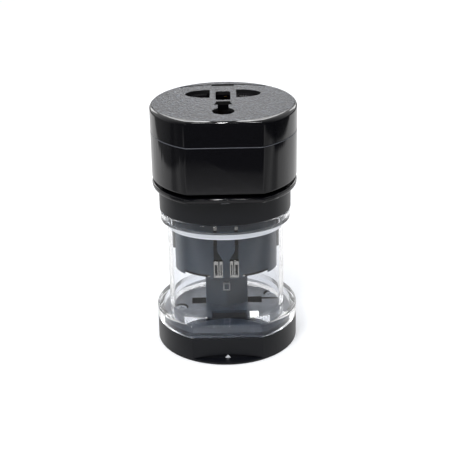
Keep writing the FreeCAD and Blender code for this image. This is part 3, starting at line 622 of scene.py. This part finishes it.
@dataclass
class BaseModule:
    """Black base with its grey floor plate, post, screws and keeper strip.

    Attributes:
        looks: Finish and edge rounding of every piece.
        tile_width: Width of the plain square tile on the post.
        tile_height: Height of that tile.
        tile_middle: How far the tile's middle stands above the floor plate.
        tile_proud: How far the tile stands out of the post's ridge.
        tile_rim: Width of its white rim.
        tile_recess: Depth of its grey middle.
        tile_edge_mm: Rounding of its edges.
        ridge: How far the post's front ridge stands in front of the axis.
        strip_shade_half: Half width of the keeper strip's middle, painted black as shade down in the well.
        well_reach: How far the floor plate's well and slots reach from the axis.
        well_skin: Faces this far under the floor plate's top lie in the well or a slot.
    """

    looks: Looks = field(default_factory=lambda: {
        "base_shell": (Material.SATIN_ABS, 0.2),
        "floor_plate": (Material.FLOOR_PC, 0.12),
        "post": (Material.SLATE_PC, 0.12),
        "floor_screws": (Material.ZINC_STEEL, 0.08),
        "post_screw": (Material.ZINC_STEEL, 0.08),
        "keeper_strip": (Material.NICKEL, 0.1),
        "keeper_rivet": (Material.NICKEL, 0.05),
        "rubber_feet": (Material.FOOT_RUBBER, 0.2),
    })
    tile_width: float = 2.9 * MM
    tile_height: float = 3.5 * MM
    tile_middle: float = 9.8 * MM
    tile_proud: float = 0.35 * MM
    tile_rim: float = 0.55 * MM
    tile_recess: float = 0.12 * MM
    tile_edge_mm: float = 0.12
    ridge: float = 4.0 * MM
    strip_shade_half: float = 8.2 * MM
    well_reach: float = 21.0 * MM
    well_skin: float = 0.1 * MM

    def build(self) -> None:
        """Builds and dresses every piece of the base."""
        well_top = top_of("floor_plate") - self.well_skin
        # The floor plate's well, slots and other hollows under its top, and the keeper strip's middle, get
        # near-black as painted shade.
        smooth_copies(self.looks, "base", {
            "floor_plate": PaintedLight(Material.NYLON_AND_RECESS_SHADE, lambda middle, normal: (
                middle.z < well_top and middle.xy.length < self.well_reach)),
            "keeper_strip": PaintedLight(Material.NYLON_AND_RECESS_SHADE, lambda middle, normal: (
                abs(middle.x) < self.strip_shade_half)),
        })
        paint_node("base_mark", Material.WHITE_ABS)
        self.build_tile()

    def build_tile(self) -> bpy.types.Object:
        """Builds the plain square tile on the post's front ridge."""
        middle = Vector((0, -self.ridge - self.tile_proud, top_of("floor_plate") + self.tile_middle))
        bm = bmesh.new()
        bmesh.ops.create_cube(bm, size=1.0, matrix=Matrix.Diagonal(
            (self.tile_width, self.tile_proud * 4, self.tile_height, 1)))
        bmesh.ops.translate(bm, verts=bm.verts, vec=middle + Vector((0, self.tile_proud * 2, 0)))
        front = min(bm.faces, key=lambda face: face.calc_center_median().y)
        bmesh.ops.inset_region(bm, faces=[front], thickness=self.tile_rim, use_even_offset=True)
        bmesh.ops.translate(bm, verts=front.verts, vec=(0, self.tile_recess, 0))
        front.material_index = 1
        piece = object_from(bm, "post_tile", Material.WHITE_ABS, Material.SLATE_PC)
        shade(piece.data)
        add_edge_round(piece, self.tile_edge_mm)
        keep_flats_flat(piece)
        finish_piece(piece, "base")
        return piece


@dataclass
class ClearCase:
    """Clear case: a flange with a flat, an oval waist, a step and a rim.

    Attributes:
        segments: Points round each outline.
        flange_wall: Wall of the flange.
        shelf_thickness: Thickness of the flange's top.
        waist_wall: Wall of the waist.
        rim_wall: Wall of the rim.
        waist_half: Half width and half depth of the waist.
        step_width: How far the rim stands out of the waist, across and in depth.
        waist_height: Height of the waist over the flange.
        step_height: Height of the slope between waist and rim.
        step_rise: How far the slope inside lies over the one outside.
        flange_height: Height of the flange.
        flat_cut: How deep the alignment flat cuts into the round flange.
        edge: Rounding of the flange's upper edge.
        corner: Rounding of the step and of the rim's top.
        corner_segments: Faces across each rounding.
        sharp_degrees: Edges over this angle are shaded sharp.
        flat_weight: How much large faces lead the shading.
    """

    segments: int = 160
    flange_wall: float = 2.4 * MM
    shelf_thickness: float = 1.4 * MM
    waist_wall: float = 1.6 * MM
    rim_wall: float = 1.8 * MM
    waist_half: Pair = (23.7 * MM, 17.9 * MM)
    step_width: Pair = (2.6 * MM, 2.0 * MM)
    waist_height: float = 35.0 * MM
    step_height: float = 2.5 * MM
    step_rise: float = 0.6 * MM
    flange_height: float = 5.0 * MM
    flat_cut: float = 3.8 * MM
    edge: float = 0.8 * MM
    corner: float = 0.35 * MM
    corner_segments: int = 4
    sharp_degrees: float = 35.0
    flat_weight: int = 50

    def flat_loop(self, bm: bmesh.types.BMesh, inset: float, z: float) -> Edges:
        """Adds the flange's outline, a circle with one flat.

        Args:
            bm: The bmesh that gets it.
            inset: How far the outline lies inside the flange.
            z: Its height.

        Returns:
            The loop's edges.
        """
        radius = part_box("clear_case")[1].x
        disc = bmesh.ops.create_circle(bm, cap_ends=True, radius=radius - inset, segments=self.segments,
                                       matrix=Matrix.Translation((0, 0, z)))["verts"]
        faces = list(dict.fromkeys(face for vert in disc for face in vert.link_faces))
        edges = list(dict.fromkeys(edge for vert in disc for edge in vert.link_edges))
        plane_y = -(radius - self.flat_cut - inset)
        cut = bmesh.ops.bisect_plane(bm, geom=disc + edges + faces, dist=LOOP_SNAP,
                                     plane_co=(0, plane_y, 0), plane_no=(0, -1, 0),
                                     clear_outer=True)["geom"]
        face = next(item for item in cut if isinstance(item, bmesh.types.BMFace))
        loop = list(face.edges)
        bmesh.ops.delete(bm, geom=[face], context="FACES_ONLY")
        return loop

    def oval_loop(self, bm: bmesh.types.BMesh, z: float) -> Edges:
        """Adds the waist's outer outline.

        Args:
            bm: The bmesh that gets it.
            z: Its height.

        Returns:
            The loop's edges.
        """
        place = Matrix.Translation((0, 0, z)) @ Matrix.Diagonal((*self.waist_half, 1, 1))
        verts = bmesh.ops.create_circle(bm, cap_ends=False, radius=1.0, segments=self.segments,
                                        matrix=place)["verts"]
        return list(dict.fromkeys(edge for vert in verts for edge in vert.link_edges))

    @staticmethod
    def grow(bm: bmesh.types.BMesh, loop: Edges, rise: float, half: Pair = (1.0, 1.0),
             new_half: Pair = (1.0, 1.0)) -> Edges:
        """Extrudes a loop to a new height and, where both halves are given, to a new size.

        Args:
            bm: The bmesh.
            loop: The loop's edges.
            rise: How far it goes up.
            half: Its half width and half depth now.
            new_half: Its half width and half depth after the move.

        Returns:
            The new loop's edges.
        """
        new = bmesh.ops.extrude_edge_only(bm, edges=loop)["geom"]
        verts = [item for item in new if isinstance(item, bmesh.types.BMVert)]
        bmesh.ops.scale(bm, verts=verts, vec=(new_half[0] / half[0], new_half[1] / half[1], 1))
        bmesh.ops.translate(bm, verts=verts, vec=(0, 0, rise))
        return [item for item in new if isinstance(item, bmesh.types.BMEdge)]

    def build(self) -> bpy.types.Object:
        """Builds the case as one closed shell and dresses it."""
        bottom = bottom_of("clear_case")
        rim_top = top_of("clear_case")
        shelf = bottom + self.flange_height
        ceiling = shelf - self.shelf_thickness
        step_low = shelf + self.waist_height
        step_high = step_low + self.step_height
        waist = self.waist_half
        rim = (waist[0] + self.step_width[0], waist[1] + self.step_width[1])
        waist_in = (waist[0] - self.waist_wall, waist[1] - self.waist_wall)
        rim_in = (rim[0] - self.rim_wall, rim[1] - self.rim_wall)
        bm = bmesh.new()
        outer_low = self.flat_loop(bm, 0, bottom)
        shelf_edge = self.grow(bm, outer_low, self.flange_height)
        waist_foot = self.oval_loop(bm, shelf)
        bmesh.ops.triangle_fill(bm, edges=shelf_edge + waist_foot, use_beauty=True)
        waist_head = self.grow(bm, waist_foot, self.waist_height)
        rim_foot = self.grow(bm, waist_head, self.step_height, waist, rim)
        rim_head = self.grow(bm, rim_foot, rim_top - step_high)
        rim_inner = self.grow(bm, rim_head, 0, rim, rim_in)
        inner_high = self.grow(bm, rim_inner, step_high + self.step_rise - rim_top)
        inner_low = self.grow(bm, inner_high, -self.step_height, rim_in, waist_in)
        inner_foot = self.grow(bm, inner_low, ceiling - step_low - self.step_rise)
        inner_flat = self.flat_loop(bm, self.flange_wall, ceiling)
        bmesh.ops.triangle_fill(bm, edges=inner_foot + inner_flat, use_beauty=True)
        mouth = self.grow(bm, inner_flat, self.shelf_thickness - self.flange_height)
        bmesh.ops.triangle_fill(bm, edges=outer_low + mouth, use_beauty=True)
        bmesh.ops.remove_doubles(bm, verts=bm.verts, dist=SHELL_MERGE)
        bmesh.ops.recalc_face_normals(bm, faces=bm.faces)
        self.round_edges(bm, shelf_edge, self.edge)
        for loop in (waist_head, rim_foot, rim_head, rim_inner, inner_high, inner_low):
            self.round_edges(bm, loop, self.corner)
        self.frost_and_whiten_step(bm, step_low - self.corner, step_high)
        piece = object_from(bm, "clear_case_finished", Material.CLEAR_PC, Material.STEP_HIGHLIGHT_PC)
        shade(piece.data, self.sharp_degrees)
        keep_flats_flat(piece, self.flat_weight)
        return finish_piece(piece, "case", "clear_case")

    def round_edges(self, bm: bmesh.types.BMesh, loop: Edges, width: float) -> None:
        """Rounds one closed loop of edges.

        Args:
            bm: The bmesh.
            loop: The edges, of which those still alive are rounded.
            width: Width of the rounding.
        """
        alive = [edge for edge in loop if edge.is_valid]
        bmesh.ops.bevel(bm, geom=alive, offset=width, offset_type="OFFSET", segments=self.corner_segments,
                        profile=0.5, affect="EDGES", material=-1, clamp_overlap=True)

    def frost_and_whiten_step(self, bm: bmesh.types.BMesh, low: float, high: float) -> None:
        """Gives the outer faces between two heights the second finish: frosted, and white as a painted
        highlight.
        """
        reach = (self.waist_half[0] - self.waist_wall / 2, self.waist_half[1] - self.waist_wall / 2)
        for face in bm.faces:
            middle = face.calc_center_median()
            outer = (middle.x / reach[0]) ** 2 + (middle.y / reach[1]) ** 2 > 1
            face.material_index = int(outer and low < middle.z < high)


@dataclass
class PlugModule:
    """Collar, ring and oval plug body with its forks, pins and carriage.

    Attributes:
        head_looks: Finish and edge rounding of the plain pieces that ride with the head.
        pin_looks: The same for those that ride with the pins.
        dark_looks: The same for those with painted shade in their slots or tracks, which ride with the
            head.
        body_half: Half width and half depth of the oval body.
        skin_share: Share of that oval, squared, inside which its faces count as hollow.
        rebate_share: The same down in the rebates of its lower edge.
        rebate_height: Height of those rebates.
        upright: Faces whose normal goes up or down less than this count as upright.
        tine_top: Height over which the forks are painted dark as shade.
        tine_front: Their faces whose normal has a y over this, not turned to the front, are painted dark as
            shade too.
    """

    head_looks: Looks = field(default_factory=lambda: {
        "collar": (Material.SATIN_ABS, 0.12),
        "index_ring": (Material.GLOSS_ABS, 0.1),
        "side_tongues": (Material.SATIN_ABS, 0.1),
    })
    pin_looks: Looks = field(default_factory=lambda: {
        "pin_carriage": (Material.SLATE_PC, 0.12),
        "live_pin": (Material.NICKEL, 0.1),
        "neutral_pin": (Material.NICKEL, 0.1),
    })
    dark_looks: Looks = field(default_factory=lambda: {
        "plug_shell": (Material.SLATE_PC, 0.12),
        "live_fork": (Material.NICKEL, 0.06),
        "neutral_fork": (Material.NICKEL, 0.06),
    })
    body_half: Pair = (20.8 * MM, 15.4 * MM)
    skin_share: float = 0.84
    rebate_share: float = 0.97
    rebate_height: float = 2.2 * MM
    upright: float = 0.9
    tine_top: float = 43.0 * MM
    tine_front: float = -0.5

    def build(self) -> None:
        """Builds and dresses every piece of the plug."""
        rebate_top = bottom_of("plug_shell") + self.rebate_height
        # The shell's tracks, rebates and hollow get near-black as painted shade.
        tracks = PaintedLight(Material.NYLON_AND_RECESS_SHADE,
                        lambda middle, normal: self.is_under_skin(middle, normal, rebate_top))
        # The forks' tops and faces not turned to the front get dark nickel as painted shade.
        slots = PaintedLight(Material.SHADED_NICKEL,
                       lambda middle, normal: normal.y > self.tine_front or middle.z > self.tine_top)
        smooth_copies(self.head_looks, "head")
        smooth_copies(self.pin_looks, "pins")
        smooth_copies(self.dark_looks, "head",
                      {"plug_shell": tracks, "live_fork": slots, "neutral_fork": slots})
        paint_node("collar_mark", Material.WHITE_ABS)

    def is_under_skin(self, middle: Vector, normal: Vector, rebate_top: float) -> bool:
        """Tells whether a face of the plug's shell lies in a track, a rebate or the hollow.

        Args:
            middle: The face's middle.
            normal: Its normal.
            rebate_top: Height under which the rebates lie.

        Returns:
            True for such a face.
        """
        share = (middle.x / self.body_half[0]) ** 2 + (middle.y / self.body_half[1]) ** 2
        limit = self.rebate_share if middle.z < rebate_top else self.skin_share
        return share < limit and abs(normal.z) < self.upright


@dataclass
class HeadModule:
    """Head with its socket face, shutters, contacts and fuse.

    Attributes:
        inner_looks: Finish and edge rounding of the pieces inside.
        skin_reach: Points further than this from the axis are on the outside.
        skin_flat: So are those this far in front of it, on the flat.
        seam_edge: Width of the chamfer along the seam, which is painted pale as a highlight.
        seam_lean: Limits to the upward part of the normal of the faces on that chamfer.
        face_edge_mm: Rounding of the socket face's edges.
        face_skin: Faces this far under the socket face's top lie in an aperture or the groove.
        shutter_edge_mm: Rounding of the shutters' edges.
    """

    inner_looks: Looks = field(default_factory=lambda: {
        "contact_carrier": (Material.NYLON_AND_RECESS_SHADE, 0.1),
        "live_contact": (Material.BRASS, 0.08),
        "neutral_contact": (Material.BRASS, 0.08),
        "earth_contact": (Material.BRASS, 0.08),
        "fuse_tube": (Material.FUSE_GLASS, 0.1),
        "fuse_caps": (Material.NICKEL, 0.15),
        "fuse_clips": (Material.NICKEL, 0.05),
        "head_screws": (Material.ZINC_STEEL, 0.08),
        "live_bar_in": (Material.BRASS, 0.08),
        "live_bar_out": (Material.BRASS, 0.08),
        "neutral_bar": (Material.BRASS, 0.08),
    })
    skin_reach: float = 28.2 * MM
    skin_flat: float = 24.6 * MM
    seam_edge: float = 0.28 * MM
    seam_lean: Pair = (0.2, 0.95)
    face_edge_mm: float = 0.1
    face_skin: float = 0.02 * MM
    shutter_edge_mm: float = 0.1

    def build(self) -> None:
        """Builds and dresses every piece of the head."""
        smooth_copies(self.inner_looks, "head")
        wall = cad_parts["head_housing"].data.vertices
        seam = max(point.co.z for point in wall if point.co.xy.length > self.skin_reach)
        low, high = self.seam_lean
        # The seam's chamfer is painted pale: a painted highlight.
        seam_highlight = PaintedLight(Material.SEAM_HIGHLIGHT_ABS, lambda middle, normal: (
            seam - self.seam_edge < middle.z < seam and low < normal.z < high))
        chamfer = RimChamfer(top=seam, reach=self.skin_reach, flat=self.skin_flat, width=self.seam_edge)
        smooth_copy("head_housing", "head", Material.GLOSS_ABS, chamfer=chamfer, inside=seam_highlight)
        smooth_copy("top_cover", "head", Material.GLOSS_ABS)
        # The apertures and the groove in the socket face get near-black as painted shade.
        cut_top = top_of("face_plate") - self.face_skin
        cut = PaintedLight(Material.NYLON_AND_RECESS_SHADE, lambda middle, normal: middle.z < cut_top)
        smooth_copy("face_plate", "head", Material.FACE_ABS, self.face_edge_mm, inside=cut)
        for side in ("left", "right"):
            smooth_copy("shutter_" + side, "shutter_" + side, Material.NYLON_AND_RECESS_SHADE, self.shutter_edge_mm)
            paint_node("shutter_spring_" + side, Material.SPRING_WIRE)


@dataclass(frozen=True)
class SoftBox:
    """A plain rectangular lamp that faces the object.

    Attributes:
        name: Its name.
        place: Where it hangs, in metres.
        width: Its width.
        height: Its height.
        power: Its power in watts.
        aim: The point that it faces.
    """

    name: str
    place: tuple[float, float, float]
    width: float
    height: float
    power: float
    aim: tuple[float, float, float] = (0.0, 0.0, 0.06)

    def hang(self) -> bpy.types.Object:
        """Adds the lamp to the scene."""
        data = bpy.data.lights.new(self.name, "AREA")
        data.shape = "RECTANGLE"
        data.size = self.width
        data.size_y = self.height
        data.energy = self.power
        lamp = bpy.data.objects.new(self.name, data)
        direction = Vector(self.aim) - Vector(self.place)
        turn = direction.to_track_quat("-Z", "Y").to_matrix().to_4x4()
        lamp.matrix_world = Matrix.Translation(self.place) @ turn
        bpy.context.scene.collection.objects.link(lamp)
        return lamp


@dataclass
class Studio:
    """White floor and backdrop, plain soft light and the camera.

    Attributes:
        camera_back: Distance of the camera in front of the object's axis.
        camera_up: Height of the camera.
        camera_side: Its offset to the right.
        pitch: How far it looks down, in degrees.
        roll: Its roll, in degrees.
        focal_px: Its focal length in pixels of the photograph.
        image_px: Width of the photograph.
        sensor_mm: Width of its sensor.
        clip: Nearest distance that it shows.
        floor_half: Half the floor's width.
        paper: Grey level of the floor.
        paper_glow: Light that the floor adds where the camera sees it.
        sheet_depth: Nearest and furthest y of the white sheet, as gloss shows it.
        sheet_stops: Grey levels on the sheet from the nearest to the furthest.
        sheet_left: How far the sheet reaches to the left.
        sheet_right: How far it reaches to the right.
        sheet_fade: Width over which its sides fade.
        sheet_dim: Share of its light that is left beyond the left and the right side.
        room_stops: Grey levels of the room that gloss shows, from the front to the back.
        room_light: Colour of the even light on everything else.
        boxes: The soft boxes.
    """

    camera_back: float = 432.22 * MM
    camera_up: float = 234.48 * MM
    camera_side: float = -0.20 * MM
    pitch: float = 23.231
    roll: float = -1.130
    focal_px: float = 1150.0
    image_px: float = 450.0
    sensor_mm: float = 36.0
    clip: float = 10 * MM
    floor_half: float = 3.0
    paper: float = 0.94
    paper_glow: float = 0.12
    sheet_depth: Pair = (-0.3, 0.1)
    sheet_stops: tuple[Pair, ...] = (
        (0.0, 0.05), (0.1, 0.05), (0.13, 0.2), (0.2, 0.34), (0.25, 0.7), (0.28, 0.65), (0.3, 0.36),
        (0.5, 0.38), (0.57, 0.62), (0.63, 0.32), (0.68, 0.32), (0.74, 0.75), (1.0, 1.0))
    sheet_left: float = 0.241
    sheet_right: float = 0.277
    sheet_fade: float = 0.012
    sheet_dim: Pair = (0.2, 0.05)
    room_stops: tuple[Pair, ...] = ((0.0, 0.06), (0.35, 0.06), (0.8, 0.9), (1.0, 0.95))
    room_light: tuple[float, float, float, float] = (0.8, 0.82, 0.86, 1.0)
    boxes: tuple[SoftBox, ...] = (
        SoftBox("left_box", (-0.34, 0.52, 0.3), width=0.14, height=0.24, power=0.35),
        SoftBox("right_box", (0.34, 0.52, 0.3), width=0.14, height=0.24, power=0.35),
        SoftBox("front_box", (-0.25, -0.5, 0.6), width=0.3, height=0.2, power=2.8),
        SoftBox("back_box", (0.0, 0.3, 0.24), width=0.1, height=0.1, power=0.16),
        SoftBox("middle_glint", (0.0, -0.24, 0.6), width=0.006, height=0.08, power=0.25),
        SoftBox("left_glint", (-0.021, -0.24, 0.6), width=0.010, height=0.03, power=0.02),
        SoftBox("right_glint", (0.029, -0.24, 0.6), width=0.009, height=0.05, power=0.1),
    )

    def build(self) -> None:
        """Builds the whole stage."""
        self.build_camera()
        self.build_floor()
        self.build_world()
        for box in self.boxes:
            box.hang()

    def build_camera(self) -> bpy.types.Object:
        """Places the camera where the photograph was taken from."""
        data = bpy.data.cameras.new("camera")
        data.sensor_width = self.sensor_mm
        data.lens = self.focal_px / self.image_px * data.sensor_width
        data.clip_start = self.clip
        camera = bpy.data.objects.new("camera", data)
        place = Matrix.Translation((self.camera_side, -self.camera_back, self.camera_up))
        tilt = Matrix.Rotation(math.radians(90 - self.pitch), 4, "X")
        camera.matrix_world = place @ tilt @ Matrix.Rotation(math.radians(self.roll), 4, "Z")
        bpy.context.scene.collection.objects.link(camera)
        bpy.context.scene.camera = camera
        return camera

    def build_floor(self) -> bpy.types.Object:
        """Lays the white floor, which keeps the object's shadow."""
        bm = bmesh.new()
        bmesh.ops.create_grid(bm, x_segments=2, y_segments=2, size=self.floor_half)
        floor = object_from(bm, "studio_floor")
        floor.data.materials.append(self.build_paper())
        return floor

    def build_paper(self) -> bpy.types.Material:
        """Builds the floor's paper: plain white, and for gloss a lit sheet that fades at its sides."""
        material, tree = new_material("white_paper_floor")
        path = add_node(tree, "ShaderNodeLightPath")
        axes = add_node(tree, "ShaderNodeSeparateXYZ", {"Vector": object_place(tree)})
        depth = remap(tree, axes.outputs["Y"], self.sheet_depth)
        sheen = grey_ramp(tree, depth, self.sheet_stops)
        left = remap(tree, axes.outputs["X"], (-self.sheet_left - self.sheet_fade, -self.sheet_left),
                     (self.sheet_dim[0], 1.0))
        right = remap(tree, axes.outputs["X"], (self.sheet_right, self.sheet_right + self.sheet_fade),
                      (1.0, self.sheet_dim[1]))
        paper = add_node(tree, "ShaderNodeBsdfDiffuse", {"Color": (self.paper, self.paper, self.paper, 1)})
        seen = self.seen_directly(tree, path)
        lift = maths(tree, "MULTIPLY", seen, self.paper_glow)
        glow = add_node(tree, "ShaderNodeEmission", {"Strength": lift})
        lit = add_node(tree, "ShaderNodeAddShader", {0: paper.outputs[0], 1: glow.outputs[0]})
        mirror = add_node(tree, "ShaderNodeEmission",
                          {"Color": sheen, "Strength": maths(tree, "MULTIPLY", left, right)})
        indirect = maths(tree, "SUBTRACT", path.outputs["Is Glossy Ray"], seen, clamp=True)
        surface = add_node(tree, "ShaderNodeMixShader", {0: indirect, 1: lit.outputs[0],
                                                         2: mirror.outputs[0]})
        add_node(tree, "ShaderNodeOutputMaterial", {"Surface": surface.outputs[0]})
        return material

    @staticmethod
    def seen_directly(tree: NodeTree, path: bpy.types.Node) -> Socket:
        """Tells rays that show the background from rays that only light or gloss the object.

        Args:
            tree: The tree that gets the nodes.
            path: Its Light Path node.

        Returns:
            1 for a ray from the camera or one that has passed through the clear case, else 0.
        """
        through = maths(tree, "GREATER_THAN", path.outputs["Transmission Depth"], 0.5)
        bounces = maths(tree, "ADD", path.outputs["Diffuse Depth"], path.outputs["Glossy Depth"])
        straight = maths(tree, "SUBTRACT", through, bounces, clamp=True)
        return maths(tree, "MAXIMUM", path.outputs["Is Camera Ray"], straight)

    def build_world(self) -> None:
        """Makes the white backdrop and the even light around the object."""
        world = bpy.data.worlds.new("white_studio")
        bpy.context.scene.world = world
        world.use_nodes = True
        tree = world.node_tree
        tree.nodes.clear()
        path = add_node(tree, "ShaderNodeLightPath")
        place = add_node(tree, "ShaderNodeTexCoord").outputs["Generated"]
        axes = add_node(tree, "ShaderNodeSeparateXYZ", {"Vector": place})
        room = grey_ramp(tree, remap(tree, axes.outputs["Y"], (-1.0, 1.0)), self.room_stops)
        shown = mix_colours(tree, path.outputs["Is Glossy Ray"], self.room_light, room)
        colour = mix_colours(tree, self.seen_directly(tree, path), shown, (1, 1, 1, 1))
        sky = add_node(tree, "ShaderNodeBackground", {"Color": colour, "Strength": 1.0})
        add_node(tree, "ShaderNodeOutputWorld", {"Surface": sky.outputs[0]})


def main() -> None:
    """Builds the stage and every sub-assembly in order."""
    logging.basicConfig(level=logging.INFO, format="%(message)s")
    bpy.context.scene.view_settings.view_transform = "Standard"
    Studio().build()
    BaseModule().build()
    ClearCase().build()
    PlugModule().build()
    HeadModule().build()


if __name__ == "__main__":
    main()
